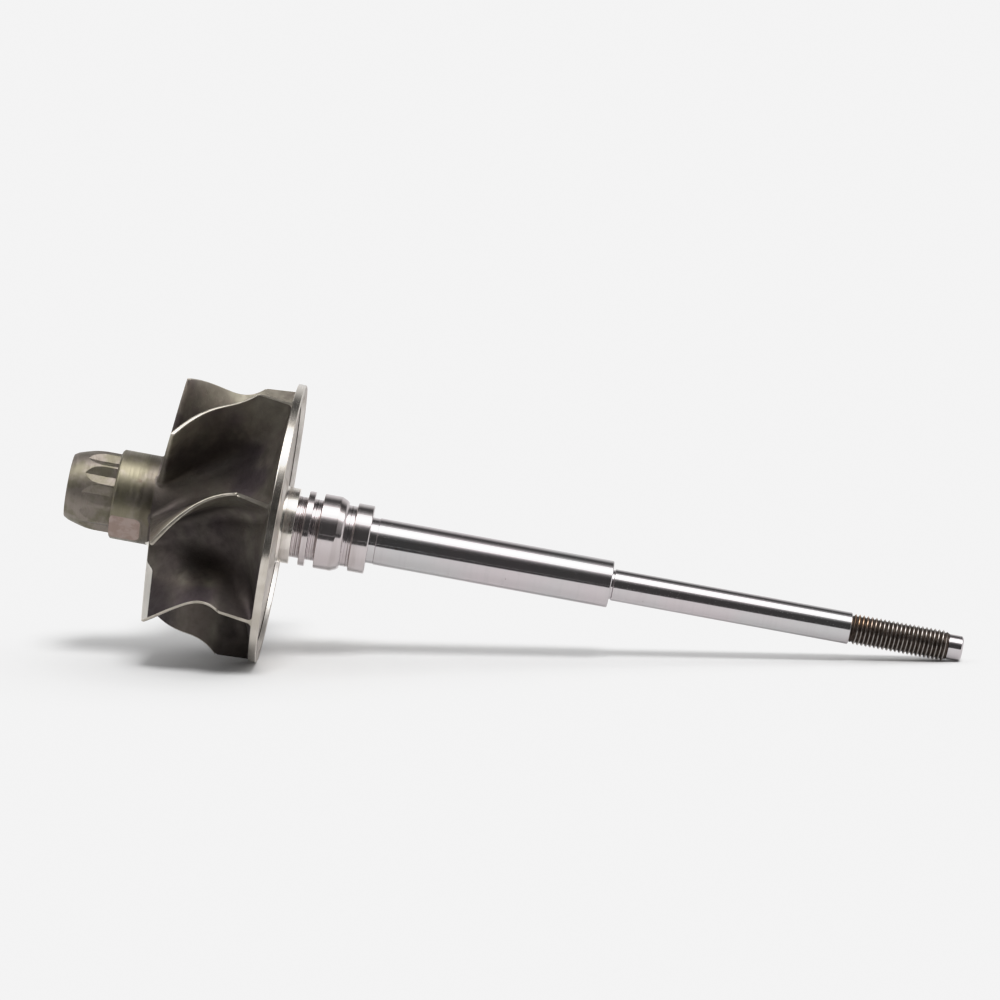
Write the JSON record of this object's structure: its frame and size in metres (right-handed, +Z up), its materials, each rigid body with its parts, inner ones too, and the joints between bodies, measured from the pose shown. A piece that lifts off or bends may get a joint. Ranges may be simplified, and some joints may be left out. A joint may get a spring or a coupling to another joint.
{
  "type": "turbocharger turbine wheel and shaft",
  "caption": "Cast radial turbine wheel with twisted blades on a full back disc, joined to a stepped, ground shaft with ring grooves and a threaded end.",
  "frame": {"origin": "on the floor, in the middle of the footprint of the wheel and shaft as they lie", "axes": "+Z up from the floor; +X from the nose of the wheel towards the threaded end; the shaft axis lies in the XZ plane and falls 10.5 degrees towards +X, because the rotor rests on the rim of its back disc and on the tip of its shaft"},
  "size_m": [0.192, 0.0602, 0.0608],
  "materials": {
    "cast_alloy": "blasted investment casting, dull olive brown grey",
    "turned_alloy": "casting with a turned, bright rim",
    "weld_tint": "turned, tinted beige brown by the heat of the weld",
    "ground_steel": "ground and polished",
    "thread_steel": "rolled thread, dark oil tint in the roots"
  },
  "bodies": {
    "root": {"nose_drive": "cast_alloy", "nose_collar": "cast_alloy", "wheel_hub": "cast_alloy", "back_disc": "turned_alloy", "weld_neck": "weld_tint", "front_ring_groove": "ground_steel", "ring_land": "ground_steel", "rear_ring_groove": "ground_steel", "seal_hub": "ground_steel", "oil_groove": "ground_steel", "journal_shoulder": "ground_steel", "bearing_journal": "ground_steel", "compressor_stub": "ground_steel", "shaft_thread": "thread_steel", "shaft_tip": "ground_steel", "blade_1": "cast_alloy", "blade_2": "cast_alloy", "blade_3": "cast_alloy", "blade_4": "cast_alloy", "blade_5": "cast_alloy", "blade_6": "cast_alloy", "blade_7": "cast_alloy"}
  },
  "joints": []
}
